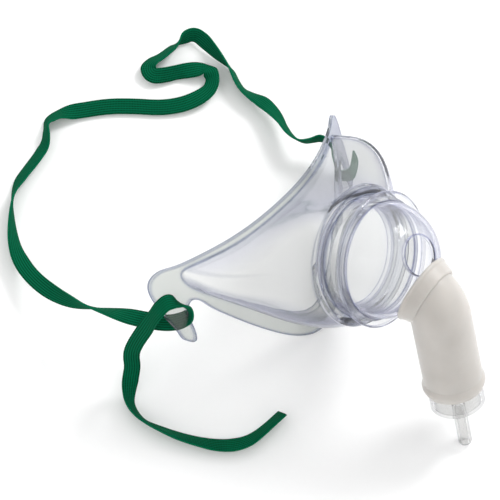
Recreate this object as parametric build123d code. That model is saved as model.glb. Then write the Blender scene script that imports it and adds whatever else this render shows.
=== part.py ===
from build123d import *
import os
from math import atan2, cos, degrees, hypot, pi, radians, sin, sqrt, tan

# Tracheostomy oxygen mask: a clear neck shield with a swivel dome elbow, a soft white tube adapter,
# an oxygen connector plugged into it and a flat elastic neck strap. Millimetres.
# Mask axes while modelling: X across the neck, Y towards the chin, Z along the collar, away from the neck.
# The origin is the middle of the collar's root.

# Neck shield
NECK_RADIUS = 115.0          # curve of the rim across the neck
RIM_DEPTH = 36.8             # collar root to the middle of the rim
FLANGE_THICKNESS = 1.6
WALL = 1.3
RIM_TOP = 20.5               # height of the chin edge of the rim at the middle
RIM_BOTTOM = -45.0           # lowest point of the rim, towards the chest
WALL_ROOT_RADIUS = 27.6      # the domed wall meets the collar here
# Flange outline, right half, from the chin edge down the side to the chest: the finger is the strap hook
CHIN_EDGE = [(0, RIM_TOP), (28, RIM_TOP + 0.1), (46, RIM_TOP + 0.9), (54.6, 22.2)]
HOOK = [(59.3, 22.8), (63.4, 20.6), (65.0, 16.0), (64.4, 9.0), (62.8, 0.5), (60.4, -8.0), (58.6, -13.2),
        (56.3, -14.4), (55.2, -11.5), (55.4, -4.0), (54.6, 1.8), (52.4, 4.2)]
SIDE_EDGE = [(49.6, 2.6), (46.6, -2.2), (41.8, -9.4), (34.3, -19.0), (25.0, -29.6), (13.5, -39.8)]
# Where the domed wall stands on the flange, right half
WALL_FOOT = [(0, 17.4), (18, 17.4), (34, 17.9), (47, 19.0), (52.6, 17.6), (50.8, 10.0), (43.4, 0.6),
             (34.2, -9.4), (24.6, -19.4), (13.0, -29.4), (0, -35.0)]
WALL_SECTIONS = (0.0, -2.5, -6.0, -11.0, -18.0, -27.0, -38.0, -64.0)
WALL_ROUNDNESS = 2.4         # how quickly the wall swells from the collar towards the rim
WALL_BULGE = 3.0

# Collar
COLLAR_BORE = 23.2
COLLAR_RADIUS = 25.8
COLLAR_TOP = 9.6
ROOT_BEAD_RADIUS = 29.7
ROOT_BEAD_HEIGHT = 2.2

# Swivel dome elbow
DOME_Z = 10.2                # plane of the dome's equator
DOME_RADIUS = 24.6
DOME_WALL = 1.8
SWIVEL_FLANGE_RADIUS = 28.3
SWIVEL_FLANGE_BOTTOM = 9.8
SWIVEL_FLANGE_TOP = 12.2
SWIVEL_SLEEVE_RADIUS = 23.0
SNAP_BEAD_RADIUS = 23.9
SNAP_BOTTOM = -3.6
PORT_ANGLE = 15.2            # suction port above the collar axis
PORT_RADIUS = 8.3
SPIGOT_ANGLE = -34.0         # spigot below the collar axis
SPIGOT_RADIUS = 11.0
SPIGOT_BORE = 9.3
SPIGOT_END = 27.0            # from the dome's centre

# White tube adapter
LIP_START = 20.0             # mouth plane, from the dome's centre along the spigot
LIP_RADIUS = 15.2
SKIRT_RADIUS = 13.3          # the mouth's flared skirt narrows to this step on the tube
SKIRT_LENGTH = 7.0
TUBE_RADIUS = 12.5
TUBE_BORE_RADIUS = 10.2
SOCKET_RADIUS = 11.04        # running fit round the spigot at the mouth and round the plug at the open end
SOCKET_END_GAP = 0.3
TUBE_TILT = -6.5             # the tube's lean back towards the neck
TUBE_CORNER = 29.3           # spigot axis to tube axis crossing, from the dome's centre
BEND_RADIUS = 14.0
TUBE_LENGTH = 45.0           # from the crossing to the open end
END_RING_RADIUS = 13.3

# Oxygen connector
CAP_RADIUS = 11.6
CAP_PLUG_RADIUS = 11.0
CAP_PLUG_LENGTH = 9.0
CAP_LENGTH = 9.4
CAP_WALL = 1.3
NIPPLE_RADIUS = 2.85
NIPPLE_BORE = 1.6
NIPPLE_LENGTH = 22.0


# Neck strap, a limp flat elastic ribbon, carried here as a round cord along its middle line.
# Path at rest, in the resting frame: from the far hook, in folds over the floor, round behind and over
# the near hook, then down to the floor and along it to the cut end
STRAP_DIAMETER = 3.0
STRAP_BEND_SHARE = 0.45      # part of the shorter neighbouring run that each rounded bend takes
STRAP_PATH = [
    (58, 31.5, 8), (51.5, 29, 10.5), (45.5, 27.5, 13), (43, 33.5, 11.5), (50.5, 38.5, 11), (55.5, 43, 13),
    (56, 48, 13.5), (53, 51.5, 12), (50.5, 55.5, 11), (52, 61.5, 9), (55.5, 67, 8), (59.5, 73, 6.5),
    (62, 80, 5.5), (62.5, 86.5, 4.5), (63.5, 92, 4), (66.5, 96.5, 4), (70, 100.5, 4), (72, 105.5, 4),
    (74, 111.5, 4), (76.5, 118, 4), (77.5, 123.5, 4), (74, 126.5, 4), (67, 128.5, 4), (59.5, 131, 4),
    (55.5, 133.5, 4), (51.2, 133.3, 4), (49.3, 129.3, 4), (52.8, 124.7, 4), (57, 120.5, 4), (61.5, 115, 4),
    (65, 110.5, 4), (63, 106, 4), (57.5, 104, 4), (53, 105, 4), (47.5, 108, 4), (42.5, 112.5, 3.5),
    (37.5, 119.5, 3), (33, 129, 3), (27, 139.5, 3), (19, 149, 3), (13, 156, 3.5), (8, 158.5, 4),
    (4, 158, 4), (-0.5, 155, 4), (-6, 153.5, 4), (-14.5, 154, 4), (-24, 155, 4), (-32.5, 153.5, 4),
    (-43, 147.5, 4), (-52.5, 140.5, 5), (-59.5, 131.5, 7), (-64.5, 120, 11), (-67, 107, 16.5),
    (-67, 95, 23), (-66.5, 85.5, 28.5), (-65.5, 73.5, 34), (-63.5, 61, 35), (-59.5, 56, 36),
    (-53.5, 51.5, 37), (-56.5, 48.5, 43), (-61.5, 54.5, 49), (-62, 62.5, 53.5), (-64.5, 67, 49.5),
    (-66, 67.8, 43.5), (-67, 69, 37.5), (-69, 69.5, 31), (-72.5, 70, 24.5), (-75.5, 69.5, 18),
    (-77.5, 67.5, 12.5), (-81, 66.5, 8), (-85, 65, 5), (-89.5, 62.5, 4), (-92.5, 58, 4), (-94, 52.5, 4),
    (-93.5, 45, 4), (-92.5, 37, 3.5), (-90.5, 29, 3), (-88, 21, 3), (-84.5, 14.5, 3.5), (-80, 10, 4),
    (-74.5, 7.5, 4), (-68.5, 5.5, 4), (-62, 3.5, 4),
]

# At rest the mask lies on the nipple's end, the chest edge of the rim and the tip of one strap hook
REST_UP = (-0.2715, 0.7712, 0.5759)
REST_RIGHT = (0.9433, 0.3322, 0.0)


def revolved(points):
    """A solid of revolution about Z from a closed outline of (radius, height) points."""
    face = Plane.XZ * make_face(Polyline(*points, close=True))
    return revolve(face, Axis.Z, 360)


def mirrored_loop(half):
    """A closed list of points from a right half that starts and ends on the middle line."""
    return half + [(-x, y) for x, y in reversed(half[1:-1])]


def saddle(x):
    return -RIM_DEPTH - (NECK_RADIUS - sqrt(NECK_RADIUS**2 - x**2))


def wall_section(foot, root_radius, drop, z):
    """One level of the domed wall: a circle at the collar that turns into the shield outline at the rim."""
    points = []
    for x, y in foot:
        depth = min(1.0, (z + drop) / (saddle(x) + drop)) if z < -drop else 0.0
        swell = 1 - (1 - depth) ** WALL_ROUNDNESS
        angle = atan2(y, x)
        bulge = WALL_BULGE * sin(pi * min(1.0, depth))
        radius_x = root_radius * cos(angle) + (x - root_radius * cos(angle)) * swell + bulge * cos(angle)
        radius_y = root_radius * sin(angle) + (y - root_radius * sin(angle)) * swell + bulge * sin(angle)
        points.append((radius_x, radius_y, z))
    return points


def wall_solid(inset):
    """The domed wall as a solid plug, inset all round; the neck cylinder trims it afterwards."""
    foot = []
    for x, y in mirrored_loop(WALL_FOOT):
        reach = hypot(x, y)
        foot.append((x * (1 - inset / reach), y * (1 - inset / reach)))
    steps = [i / len(foot) for i in range(len(foot) + 1)]
    faces = []
    for level in WALL_SECTIONS:
        points = wall_section(foot, WALL_ROOT_RADIUS - inset, inset, level - inset * (level == 0))
        edge = Edge.make_spline([Vector(*p) for p in points], periodic=True, parameters=steps)
        faces.append(Face(Wire([edge])))
    return loft(faces)


def neck_cylinder(radius):
    centre = (0, -12, -RIM_DEPTH - NECK_RADIUS)
    return Pos(*centre) * Rot(90, 0, 0) * Cylinder(radius, 160)


def flange():
    half = CHIN_EDGE + HOOK + SIDE_EDGE + [(0, RIM_BOTTOM)]
    outline = Spline(*mirrored_loop(half), periodic=True)
    slab = Pos(0, 0, -90) * extrude(make_face(outline), 90)
    return slab & (neck_cylinder(NECK_RADIUS) - neck_cylinder(NECK_RADIUS - FLANGE_THICKNESS))


def mask_shell():
    wall = wall_solid(0) - neck_cylinder(NECK_RADIUS - FLANGE_THICKNESS / 2)
    body = wall + flange()
    body += Pos(0, 0, -4) * Cylinder(COLLAR_RADIUS, COLLAR_TOP + 4, align=(Align.CENTER, Align.CENTER, Align.MIN))
    bead = [(COLLAR_BORE, -3), (WALL_ROOT_RADIUS, -3), (ROOT_BEAD_RADIUS, -1.2), (ROOT_BEAD_RADIUS, 0.6),
            (ROOT_BEAD_RADIUS - 1.0, ROOT_BEAD_HEIGHT), (COLLAR_BORE, ROOT_BEAD_HEIGHT)]
    body += revolved(bead)
    body -= wall_solid(WALL) & Pos(0, 0, -50) * Box(200, 200, 96.6)
    body -= Pos(0, 0, -8) * Cylinder(COLLAR_BORE, 30, align=(Align.CENTER, Align.CENTER, Align.MIN))
    return body


def along(angle, distance):
    """A point in the middle plane, at this angle above the collar axis and distance from the dome's centre."""
    return Vector(0, distance * sin(radians(angle)), DOME_Z + distance * cos(radians(angle)))


def facing(angle, distance):
    """A plane in the middle plane's direction whose normal points out at this angle."""
    return Plane(along(angle, distance), x_dir=(1, 0, 0), z_dir=(0, sin(radians(angle)), cos(radians(angle))))


def rod(plane, radius, length):
    return plane * Cylinder(radius, length, align=(Align.CENTER, Align.CENTER, Align.MIN))


def swivel_elbow():
    half_space = Pos(0, 0, DOME_Z + 40) * Box(80, 80, 80)
    dome = (Pos(0, 0, DOME_Z) * Sphere(DOME_RADIUS)) & half_space
    sleeve = [(SWIVEL_SLEEVE_RADIUS - DOME_WALL, SNAP_BOTTOM), (SWIVEL_SLEEVE_RADIUS - 0.6, SNAP_BOTTOM),
              (SNAP_BEAD_RADIUS, -3.1), (SNAP_BEAD_RADIUS, -2.5), (SWIVEL_SLEEVE_RADIUS, -1.9),
              (SWIVEL_SLEEVE_RADIUS, SWIVEL_FLANGE_BOTTOM), (SWIVEL_FLANGE_RADIUS - 0.6, SWIVEL_FLANGE_BOTTOM),
              (SWIVEL_FLANGE_RADIUS, SWIVEL_FLANGE_BOTTOM + 0.6), (SWIVEL_FLANGE_RADIUS, SWIVEL_FLANGE_TOP - 0.6),
              (SWIVEL_FLANGE_RADIUS - 0.6, SWIVEL_FLANGE_TOP), (SWIVEL_SLEEVE_RADIUS - DOME_WALL, SWIVEL_FLANGE_TOP)]
    body = dome + revolved(sleeve)
    body += rod(facing(SPIGOT_ANGLE, 12), SPIGOT_RADIUS, SPIGOT_END - 12)
    body -= Pos(0, 0, DOME_Z) * Sphere(DOME_RADIUS - DOME_WALL)
    body -= rod(Plane.XY.offset(SNAP_BOTTOM - 1), SWIVEL_SLEEVE_RADIUS - DOME_WALL, DOME_Z - SNAP_BOTTOM + 1)
    body -= rod(facing(SPIGOT_ANGLE, 12), SPIGOT_BORE, 30)
    body -= rod(facing(PORT_ANGLE, 12), PORT_RADIUS, 30)
    return body


def tube_plane(distance):
    """Across the tube's axis, this far from where it crosses the spigot's axis, normal down the tube."""
    down = Vector(0, -cos(radians(TUBE_TILT)), sin(radians(TUBE_TILT)))
    return Plane(along(SPIGOT_ANGLE, TUBE_CORNER) + down * distance, x_dir=(1, 0, 0), z_dir=down)


def tube_adapter():
    corner = along(SPIGOT_ANGLE, TUBE_CORNER)
    end = tube_plane(TUBE_LENGTH).origin
    mouth = facing(SPIGOT_ANGLE, LIP_START)
    path = FilletPolyline(mouth.origin, corner, end, radius=BEND_RADIUS)
    body = sweep(mouth * Circle(TUBE_RADIUS), path)
    skirt = revolved([(0, 0), (LIP_RADIUS - 0.5, 0), (LIP_RADIUS, 0.5), (LIP_RADIUS, 1.3), (LIP_RADIUS - 0.6, 2.0),
                      (SKIRT_RADIUS, SKIRT_LENGTH - 0.4), (SKIRT_RADIUS - 0.5, SKIRT_LENGTH), (0, SKIRT_LENGTH)])
    ring = revolved([(0, 0), (TUBE_RADIUS - 0.3, 0), (END_RING_RADIUS, 2.0), (END_RING_RADIUS, 3.2),
                     (TUBE_RADIUS, 5.2), (0, 5.2)])
    end_plane = tube_plane(TUBE_LENGTH)
    body += mouth * skirt
    body += Plane(end_plane.origin, x_dir=end_plane.x_dir, z_dir=-end_plane.z_dir) * ring
    body -= sweep(mouth * Circle(TUBE_BORE_RADIUS), path)
    body -= rod(mouth, SOCKET_RADIUS, SPIGOT_END - LIP_START + SOCKET_END_GAP)
    body -= rod(tube_plane(TUBE_LENGTH - CAP_PLUG_LENGTH - SOCKET_END_GAP), SOCKET_RADIUS, 20)
    body -= Pos(0, 0, DOME_Z) * Sphere(DOME_RADIUS + 0.1)
    return body


def oxygen_connector():
    rim = tube_plane(TUBE_LENGTH)
    cap = revolved([(CAP_PLUG_RADIUS - CAP_WALL, -CAP_PLUG_LENGTH), (CAP_PLUG_RADIUS, -CAP_PLUG_LENGTH),
                    (CAP_PLUG_RADIUS, 0.1), (CAP_RADIUS, 0.1), (CAP_RADIUS, CAP_LENGTH - 1.0),
                    (CAP_RADIUS - 1.0, CAP_LENGTH), (NIPPLE_RADIUS, CAP_LENGTH),
                    (NIPPLE_RADIUS, CAP_LENGTH + NIPPLE_LENGTH - 1.0),
                    (NIPPLE_RADIUS - 0.4, CAP_LENGTH + NIPPLE_LENGTH), (NIPPLE_BORE, CAP_LENGTH + NIPPLE_LENGTH),
                    (NIPPLE_BORE, CAP_LENGTH - CAP_WALL), (CAP_PLUG_RADIUS - CAP_WALL, CAP_LENGTH - CAP_WALL)])
    return rim * cap


def strap_radii(points):
    """The bend radius at each inner point: as large as the shorter of its two runs allows."""
    radii = []
    for before, here, after in zip(points, points[1:], points[2:]):
        turn = (here - before).get_angle(after - here)
        shorter = min((here - before).length, (after - here).length)
        radii.append(STRAP_BEND_SHARE * shorter / tan(radians(turn) / 2))
    return radii


def neck_strap():
    points = [Vector(*point) for point in STRAP_PATH]
    radii = strap_radii(points)
    print("strap bend radii", [round(radius, 1) for radius in radii])
    path = FilletPolyline(*points, radius=radii)
    section = Plane(path @ 0, z_dir=path % 0) * Circle(STRAP_DIAMETER / 2)
    strap = sweep(section, path)
    print("strap length", round(path.length), "volume over section", round(strap.volume / section.area))
    return strap


def mask_parts():
    return {
        "mask_shell": mask_shell(),
        "swivel_elbow": swivel_elbow(),
        "tube_adapter": tube_adapter(),
        "oxygen_connector": oxygen_connector(),
    }


def lay_down(shapes):
    """Turns the parts from the mask axes to the resting pose, standing on Z = 0 over the origin."""
    turn = Plane((0, 0, 0), x_dir=REST_RIGHT, z_dir=REST_UP).location.inverse()
    turned = {name: turn * shape for name, shape in shapes.items()}
    box = Compound(list(turned.values())).bounding_box(optimal=True)
    shift = Pos(-box.center().X, -box.center().Y, -box.min.Z)
    return {name: shift * shape for name, shape in turned.items()}, shift * turn


if __name__ == "__main__":
    os.makedirs("parts", exist_ok=True)
    solids, placing = lay_down(mask_parts())
    print("placing", placing)
    solids["neck_strap"] = neck_strap()
    for name, shape in solids.items():
        export_step(shape, f"parts/{name}.step")
        print(name, shape.is_valid, round(shape.volume))
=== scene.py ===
from math import hypot, radians

import bmesh
import bpy
from mathutils import Matrix, Vector


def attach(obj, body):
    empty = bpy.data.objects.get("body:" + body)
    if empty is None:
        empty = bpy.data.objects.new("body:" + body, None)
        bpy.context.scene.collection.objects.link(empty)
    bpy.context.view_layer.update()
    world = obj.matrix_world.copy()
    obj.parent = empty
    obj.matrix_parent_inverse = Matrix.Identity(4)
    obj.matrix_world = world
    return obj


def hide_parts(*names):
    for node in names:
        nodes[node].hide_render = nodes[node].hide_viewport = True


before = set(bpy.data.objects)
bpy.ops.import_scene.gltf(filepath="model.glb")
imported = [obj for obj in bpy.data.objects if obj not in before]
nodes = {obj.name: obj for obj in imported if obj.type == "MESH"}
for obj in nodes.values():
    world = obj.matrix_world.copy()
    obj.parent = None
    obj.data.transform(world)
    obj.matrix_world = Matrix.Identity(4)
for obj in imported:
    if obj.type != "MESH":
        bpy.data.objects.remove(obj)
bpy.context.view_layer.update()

MM = 0.001

# How the mask lies at rest: its sideways direction, the collar's axis and the collar's root
SHELL_RIGHT = Vector((0.9433, -0.1913, -0.2715))
COLLAR_AXIS = Vector((0.0, -0.8175, 0.5759))
COLLAR_ROOT = Vector((-3.4537, 1.4433, 57.6528)) * MM

# The rim's curve round the neck, in millimetres: its radius, and how far its axis is from the collar's root
NECK_RADIUS = 115.0
NECK_AXIS_Z = -151.8

# Tints of the clear parts along a part's edges and where a wall turns edge on: painted shade standing in
# for the dark lines refraction draws there, partly the plastic's own blue-grey tint
SHELL_EDGE_SHADE_AND_TINT = (0.17, 0.20, 0.31)
ELBOW_EDGE_SHADE_AND_TINT = (0.13, 0.15, 0.38)
EDGE_ON_SHADE_AND_TINT = (0.14, 0.16, 0.36)

# Colour sockets of the mix node, which has sockets of the same name for other kinds of value
MIX_FACTOR, MIX_A, MIX_B, MIX_RESULT = 0, 6, 7, 2

# The camera: a long lens above the near hook, looking down at the collar; its place in millimetres
CAMERA_LENS = 180.0
CAMERA_SENSOR = 36.0
CAMERA_EYE = Vector((-396.2, -111.8, 1002.3)) * MM
CAMERA_RIGHT = Vector((0.4780, -0.8772, 0.0450))
CAMERA_UP = Vector((0.8002, 0.4560, 0.3896))
CAMERA_BACK = Vector((-0.3622, -0.1503, 0.9199))

# The studio, in metres and watts: name, place, size and power of each lamp
FLOOR_HALF_SIDE = 3.0
FLOOR_WHITE = (0.97, 0.97, 0.97, 1)
SKY_STRENGTH = 0.93
LAMPS = (
    ("key", (0.92, -0.2, 0.87), 0.4, 9.0),
    ("fill", (-0.9, 0.3, 0.9), 0.8, 1.5),
)

# The strap: the route's points in millimetres, and how far the ribbon's width is turned from level at
# each, in degrees round the route. Round the near hook it lies closer to the finger than the CAD line.
STRAP_WIDTH = 7.0
STRAP_THICKNESS = 0.9
STRAP_SECTION = [
    (-1.0, 0.45), (-0.94, 1.0), (-0.5, 1.0), (0.0, 1.0), (0.5, 1.0), (0.94, 1.0), (1.0, 0.45),
    (1.0, -0.45), (0.94, -1.0), (0.5, -1.0), (0.0, -1.0), (-0.5, -1.0), (-0.94, -1.0), (-1.0, -0.45),
]
STRAP_ROUTE = [
    (58, 31.5, 8, -67), (51.5, 29, 10.5, -65), (45.5, 27.5, 13, -51), (43, 33.5, 11.5, -85),
    (50.5, 38.5, 11, 72), (55.5, 43, 13, 80), (56, 48, 13.5, 88), (53, 51.5, 12, 80),
    (50.5, 55.5, 11, 68), (52, 61.5, 9, 60), (55.5, 67, 8, 55), (59.5, 73, 6.5, 30), (62, 80, 5.5, 12),
    (62.5, 86.5, 4.5, 40), (63.5, 92, 4, 58), (66.5, 96.5, 4, 63), (70, 100.5, 4, 66),
    (72, 105.5, 4, 85), (74, 111.5, 4, -70), (76.5, 118, 4, -45), (77.5, 123.5, 4, -53),
    (74, 126.5, 4, -60), (67, 128.5, 4, 50), (59.5, 131, 4, 45), (55.5, 133.5, 4, 35),
    (51.2, 133.3, 4, 5), (49.3, 129.3, 4, 25), (52.8, 124.7, 4, 40), (57, 120.5, 4, 50),
    (61.5, 115, 4, 10), (65, 110.5, 4, -35), (63, 106, 4, 35), (57.5, 104, 4, 20), (53, 105, 4, 5),
    (47.5, 108, 4, -15), (42.5, 112.5, 3.5, -25), (37.5, 119.5, 3, -25), (33, 129, 3, -25),
    (27, 139.5, 3, -25), (19, 149, 3, -25), (13, 156, 3.5, 35), (8, 158.5, 4, 45), (4, 158, 4, 75),
    (-0.5, 155, 4, 60), (-6, 153.5, 4, 40), (-14.5, 154, 4, 40), (-24, 155, 4, 45),
    (-32.5, 153.5, 4, 82), (-43, 147.5, 4, -70), (-52.5, 140.5, 5, -40), (-59.5, 131.5, 7, 5),
    (-64.5, 120, 11, 15), (-67, 107, 16.5, 60), (-67, 95, 23, -70), (-66.5, 85.5, 28.5, -42),
    (-65.5, 73.5, 34, 10), (-62.6, 63.1, 35.2, 18), (-60.1, 57.8, 36.2, 16), (-56.8, 53.8, 38.6, 2),
    (-55.5, 52.3, 43.2, 87), (-55.7, 55.1, 49.2, 79), (-58.4, 61, 53.7, -1), (-62.8, 63.2, 51.7, 5),
    (-66, 64.8, 45.3, 10), (-68.6, 66.5, 37.5, -20), (-71.2, 68.2, 30.2, -12), (-73.7, 69.3, 24, -8),
    (-75.5, 69.5, 18, 0), (-77.5, 67.5, 12.5, 0), (-81, 66.5, 8, -5), (-85, 65, 5, -35),
    (-89.5, 62.5, 4, -55), (-92.5, 58, 4, -62), (-94, 52.5, 4, -68), (-93.5, 45, 4, -58),
    (-92.5, 37, 3.5, -48), (-90.5, 29, 3, -40), (-88, 21, 3, -27), (-84.5, 14.5, 3.5, -22),
    (-80, 10, 4, -33), (-74.5, 7.5, 4, -45), (-68.5, 5.5, 4, -50), (-62, 3.5, 4, -50),
]


def material(name):
    made = bpy.data.materials.new(name)
    made.use_nodes = True
    tree = made.node_tree
    return made, tree, tree.nodes["Principled BSDF"]


def add_node(tree, kind, **values):
    node = tree.nodes.new(kind)
    for key, value in values.items():
        setattr(node, key, value)
    return node


def object_noise(tree, scale, detail=3.0):
    coordinates = add_node(tree, "ShaderNodeTexCoord")
    noise = add_node(tree, "ShaderNodeTexNoise")
    noise.inputs["Scale"].default_value = scale
    noise.inputs["Detail"].default_value = detail
    tree.links.new(coordinates.outputs["Object"], noise.inputs["Vector"])
    return noise


def ramp(tree, source, stops):
    node = add_node(tree, "ShaderNodeValToRGB")
    node.color_ramp.elements[0].position = stops[0][0]
    node.color_ramp.elements[0].color = (*stops[0][1], 1)
    node.color_ramp.elements[1].position = stops[-1][0]
    node.color_ramp.elements[1].color = (*stops[-1][1], 1)
    for position, colour in stops[1:-1]:
        element = node.color_ramp.elements.new(position)
        element.color = (*colour, 1)
    tree.links.new(source, node.inputs["Fac"])
    return node


def spread(tree, source, low, high):
    """Stretches a value from nought to one over a range."""
    node = add_node(tree, "ShaderNodeMapRange")
    node.inputs["To Min"].default_value = low
    node.inputs["To Max"].default_value = high
    tree.links.new(source, node.inputs["Value"])
    return node


def bump(tree, shader, height, strength, distance):
    node = add_node(tree, "ShaderNodeBump")
    node.inputs["Strength"].default_value = strength
    node.inputs["Distance"].default_value = distance
    tree.links.new(height, node.inputs["Height"])
    tree.links.new(node.outputs["Normal"], shader.inputs["Normal"])


def near_edges(tree, reach):
    """One close to the part's edges and falling to nought a reach away from them."""
    rounded = add_node(tree, "ShaderNodeBevel", samples=6)
    rounded.inputs["Radius"].default_value = reach
    true_normal = add_node(tree, "ShaderNodeNewGeometry")
    lean = add_node(tree, "ShaderNodeVectorMath", operation="CROSS_PRODUCT")
    tree.links.new(rounded.outputs["Normal"], lean.inputs[0])
    tree.links.new(true_normal.outputs["Normal"], lean.inputs[1])
    amount = add_node(tree, "ShaderNodeVectorMath", operation="LENGTH")
    tree.links.new(lean.outputs["Vector"], amount.inputs[0])
    return amount.outputs["Value"]


def clear_plastic(name, face_tint, edge_tint_and_shade, edge_on_tint_and_shade, ior, ripple, reach):
    """Clear moulded plastic: see-through face on, with painted shade along its edges and where it turns
    edge on, partly its own blue-grey tint.
    """
    made, tree, shader = material(name)
    facing = add_node(tree, "ShaderNodeLayerWeight")
    facing.inputs["Blend"].default_value = 0.5
    # Painted shade: the colour turns from the face-on tint to a darker blue-grey as the wall turns edge on,
    # partly the plastic's own tint
    tint = ramp(tree, facing.outputs["Facing"], [(0.0, face_tint), (0.35, face_tint), (1.0, edge_on_tint_and_shade)])
    # Painted shade along the part's edges: a dark outline mixed in over the tint, partly the plastic's own
    # blue-grey tint
    edge_shade_mask = ramp(tree, near_edges(tree, reach), [(0.15, (0, 0, 0)), (0.6, (1, 1, 1))])
    both = add_node(tree, "ShaderNodeMix", data_type="RGBA")
    tree.links.new(edge_shade_mask.outputs["Color"], both.inputs[MIX_FACTOR])
    tree.links.new(tint.outputs["Color"], both.inputs[MIX_A])
    both.inputs[MIX_B].default_value = (*edge_tint_and_shade, 1)
    tree.links.new(both.outputs[MIX_RESULT], shader.inputs["Base Color"])
    shader.inputs["Transmission Weight"].default_value = 0.93
    shader.inputs["IOR"].default_value = ior
    shader.inputs["Coat Weight"].default_value = 0.4
    shader.inputs["Coat Roughness"].default_value = 0.1
    noise = object_noise(tree, 45)
    smooth = spread(tree, noise.outputs["Fac"], 0.015, 0.05)
    tree.links.new(smooth.outputs["Result"], shader.inputs["Roughness"])
    ripples = object_noise(tree, 30, 1.0)
    bump(tree, shader, ripples.outputs["Fac"], ripple, 0.004)
    return made


def white_plastic():
    """Soft white plastic that lets a little light in."""
    made, tree, shader = material("adapter_white")
    noise = object_noise(tree, 60)
    tint = ramp(tree, noise.outputs["Fac"], [(0.3, (0.455, 0.43, 0.40)), (0.7, (0.515, 0.49, 0.46))])
    tree.links.new(tint.outputs["Color"], shader.inputs["Base Color"])
    rough = spread(tree, noise.outputs["Fac"], 0.34, 0.46)
    tree.links.new(rough.outputs["Result"], shader.inputs["Roughness"])
    shader.inputs["Coat Weight"].default_value = 0.5
    shader.inputs["Coat Roughness"].default_value = 0.12
    shader.inputs["Subsurface Weight"].default_value = 0.35
    shader.inputs["Subsurface Radius"].default_value = (0.006, 0.005, 0.0045)
    shader.inputs["Subsurface Scale"].default_value = 1.0
    grain = object_noise(tree, 900, 2.0)
    bump(tree, shader, grain.outputs["Fac"], 0.05, 0.0003)
    return made


def elastic():
    """Ribbed woven elastic: cross threads and lengthwise ribs, from the ribbon's UV map in millimetres."""
    made, tree, shader = material("strap_elastic")
    uv = add_node(tree, "ShaderNodeUVMap", uv_map="ribbon")
    ribs = add_node(tree, "ShaderNodeTexWave", wave_type="BANDS", bands_direction="X")
    ribs.inputs["Scale"].default_value = 0.31
    tree.links.new(uv.outputs["UV"], ribs.inputs["Vector"])
    threads = add_node(tree, "ShaderNodeTexWave", wave_type="BANDS", bands_direction="Y")
    threads.inputs["Scale"].default_value = 0.45
    threads.inputs["Distortion"].default_value = 0.6
    tree.links.new(uv.outputs["UV"], threads.inputs["Vector"])
    blotch = object_noise(tree, 180)
    weave = add_node(tree, "ShaderNodeMath", operation="MULTIPLY_ADD")
    weave.inputs[1].default_value = 0.55
    tree.links.new(threads.outputs["Fac"], weave.inputs[0])
    tree.links.new(ribs.outputs["Fac"], weave.inputs[2])
    patch = add_node(tree, "ShaderNodeMath", operation="MULTIPLY_ADD")
    patch.inputs[1].default_value = 0.35
    tree.links.new(blotch.outputs["Fac"], patch.inputs[0])
    tree.links.new(weave.outputs["Value"], patch.inputs[2])
    greens = [(0.15, (0.0003, 0.025, 0.010)), (0.9, (0.0006, 0.085, 0.036)), (1.0, (0.001, 0.12, 0.055))]
    tint = ramp(tree, patch.outputs["Value"], greens)
    tree.links.new(tint.outputs["Color"], shader.inputs["Base Color"])
    rough = spread(tree, blotch.outputs["Fac"], 0.75, 0.9)
    tree.links.new(rough.outputs["Result"], shader.inputs["Roughness"])
    shader.inputs["Specular IOR Level"].default_value = 0.04
    bump(tree, shader, weave.outputs["Value"], 0.5, 0.0003)
    return made


def ribbon_line():
    """The strap's smooth middle line, from a NURBS spline through the route."""
    curve = bpy.data.curves.new("strap_line", "CURVE")
    curve.dimensions = "3D"
    spline = curve.splines.new("NURBS")
    spline.points.add(len(STRAP_ROUTE) - 1)
    for point, (x, y, z, _) in zip(spline.points, STRAP_ROUTE):
        point.co = (x * MM, y * MM, z * MM, 1)
    spline.order_u = 3
    spline.use_endpoint_u = True
    spline.resolution_u = 8
    line = bpy.data.objects.new("strap_line", curve)
    mesh = bpy.data.meshes.new_from_object(line)
    points = [vertex.co.copy() for vertex in mesh.vertices]
    bpy.data.objects.remove(line)
    return points


def level_with(forward):
    """The level direction square to a run of the strap."""
    return forward.cross(Vector((0, 0, 1))).normalized()


def strap_widths(points):
    """The ribbon's width direction at each point of the line, eased between the route's own points."""
    places = [Vector(row[:3]) * MM for row in STRAP_ROUTE]
    marks = []
    start = 0
    for index, place in enumerate(places):
        forward = (places[min(index + 1, len(places) - 1)] - places[max(index - 1, 0)]).normalized()
        width = Matrix.Rotation(radians(STRAP_ROUTE[index][3]), 3, forward) @ level_with(forward)
        if marks and width.dot(marks[-1][1]) < 0:
            width = -width
        window = range(start, min(len(points), start + 40))
        start = min(window, key=lambda near: (points[near] - place).length)
        marks.append((start, width))
    widths = []
    mark = 0
    for index in range(len(points)):
        while mark < len(marks) - 2 and marks[mark + 1][0] <= index:
            mark += 1
        (first, width_a), (last, width_b) = marks[mark], marks[mark + 1]
        part = min(1.0, max(0.0, (index - first) / max(1, last - first)))
        widths.append(width_a.lerp(width_b, part))
    for _ in range(3):
        middle = [(a + b * 2 + c) / 4 for a, b, c in zip(widths, widths[1:], widths[2:])]
        widths = [widths[0]] + middle + [widths[-1]]
    return widths


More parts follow.
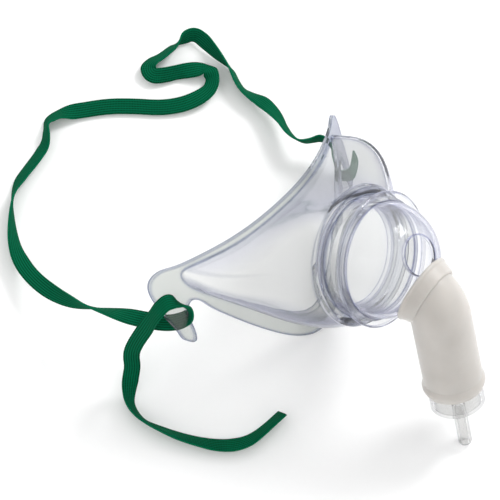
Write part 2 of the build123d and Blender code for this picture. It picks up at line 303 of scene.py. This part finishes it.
def strap():
    """The flat ribbon along the smooth line, as one closed mesh with a UV map of its width and length."""
    points = ribbon_line()
    widths = strap_widths(points)
    half_width = STRAP_WIDTH / 2 * MM
    half_thickness = STRAP_THICKNESS / 2 * MM
    build = bmesh.new()
    uv_layer = build.loops.layers.uv.new("ribbon")
    rings = []
    travelled = 0.0
    lengths = []
    for index, point in enumerate(points):
        before = points[max(0, index - 1)]
        after = points[min(len(points) - 1, index + 1)]
        forward = (after - before).normalized()
        width = (widths[index] - forward * widths[index].dot(forward)).normalized()
        depth = forward.cross(width)
        rings.append([build.verts.new(point + width * (u * half_width) + depth * (v * half_thickness))
                      for u, v in STRAP_SECTION])
        travelled += (point - before).length
        lengths.append(travelled / MM)
    count = len(STRAP_SECTION)
    for index in range(len(rings) - 1):
        for side in range(count):
            other = (side + 1) % count
            face = build.faces.new((rings[index][side], rings[index][other],
                                    rings[index + 1][other], rings[index + 1][side]))
            face.smooth = True
            across = (STRAP_SECTION[side][0] * STRAP_WIDTH / 2, STRAP_SECTION[other][0] * STRAP_WIDTH / 2)
            corners = [(across[0], lengths[index]), (across[1], lengths[index]),
                       (across[1], lengths[index + 1]), (across[0], lengths[index + 1])]
            for loop, corner in zip(face.loops, corners):
                loop[uv_layer].uv = corner
    build.faces.new(rings[0][::-1])
    build.faces.new(rings[-1])
    bmesh.ops.recalc_face_normals(build, faces=build.faces[:])
    mesh = bpy.data.meshes.new("strap")
    build.to_mesh(mesh)
    build.free()
    mesh.materials.append(elastic())
    piece = bpy.data.objects.new("strap", mesh)
    bpy.context.collection.objects.link(piece)
    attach(piece, "mask")
    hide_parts("neck_strap")


def give(node, made, second=None, where=None):
    """Dresses a CAD node in one material, or in a second one on the faces that where picks."""
    node.data.materials.clear()
    node.data.materials.append(made)
    if second is None:
        return
    node.data.materials.append(second)
    for face in node.data.polygons:
        from_root = node.matrix_world @ face.center - COLLAR_ROOT
        face.material_index = int(where(from_root / MM))


def on_rim(from_root):
    """Whether a face of the mask, placed in millimetres from the collar's root, is on the flat rim."""
    across = from_root.dot(SHELL_RIGHT)
    along = from_root.dot(COLLAR_AXIS)
    return hypot(across, along - NECK_AXIS_Z) < NECK_RADIUS + 0.1


def camera():
    data = bpy.data.cameras.new("camera")
    data.lens = CAMERA_LENS
    data.sensor_width = CAMERA_SENSOR
    view = bpy.data.objects.new("camera", data)
    bpy.context.collection.objects.link(view)
    turn = Matrix((CAMERA_RIGHT, CAMERA_UP, CAMERA_BACK)).transposed().to_4x4()
    view.matrix_world = Matrix.Translation(CAMERA_EYE) @ turn
    data.clip_start = 0.05
    data.clip_end = 20
    bpy.context.scene.camera = view


def studio():
    """A white floor, an even white sky and two soft lamps."""
    mesh = bpy.data.meshes.new("floor")
    side = FLOOR_HALF_SIDE
    corners = [(-side, -side, 0), (side, -side, 0), (side, side, 0), (-side, side, 0)]
    mesh.from_pydata(corners, [], [(0, 1, 2, 3)])
    floor = bpy.data.objects.new("floor", mesh)
    bpy.context.collection.objects.link(floor)
    made, tree, shader = material("floor_white")
    shader.inputs["Base Color"].default_value = FLOOR_WHITE
    shader.inputs["Roughness"].default_value = 0.9
    mesh.materials.append(made)
    world = bpy.data.worlds.new("studio")
    world.use_nodes = True
    world.node_tree.nodes["Background"].inputs["Color"].default_value = (1, 1, 1, 1)
    world.node_tree.nodes["Background"].inputs["Strength"].default_value = SKY_STRENGTH
    bpy.context.scene.world = world
    for name, place, size, power in LAMPS:
        data = bpy.data.lights.new(name, "AREA")
        data.size = size
        data.energy = power
        lamp = bpy.data.objects.new(name, data)
        bpy.context.collection.objects.link(lamp)
        lamp.location = place
        lamp.rotation_euler = Vector(place).to_track_quat("Z", "Y").to_euler()


# The clear parts' edge and edge-on colours below are painted shade, partly each plastic's own tint
wall = clear_plastic("shell_clear", (0.84, 0.845, 0.84), SHELL_EDGE_SHADE_AND_TINT, EDGE_ON_SHADE_AND_TINT,
                     ior=1.10, ripple=0.35, reach=0.0022)
rim = clear_plastic("rim_clear", (0.66, 0.68, 0.66), SHELL_EDGE_SHADE_AND_TINT, EDGE_ON_SHADE_AND_TINT,
                    ior=1.10, ripple=0.35, reach=0.0022)
elbow = clear_plastic("elbow_clear", (0.98, 0.985, 0.99), ELBOW_EDGE_SHADE_AND_TINT, EDGE_ON_SHADE_AND_TINT,
                      ior=1.10, ripple=0.06, reach=0.0012)
cap = clear_plastic("connector_clear", (0.86, 0.86, 0.855), (0.36, 0.36, 0.37), (0.45, 0.46, 0.50),
                    ior=1.12, ripple=0.06, reach=0.0007)
give(nodes["mask_shell"], wall, rim, on_rim)
give(nodes["swivel_elbow"], elbow)
give(nodes["oxygen_connector"], cap)
give(nodes["tube_adapter"], white_plastic())
strap()
camera()
studio()
bpy.context.scene.view_settings.view_transform = "Standard"

bpy.context.view_layer.update()
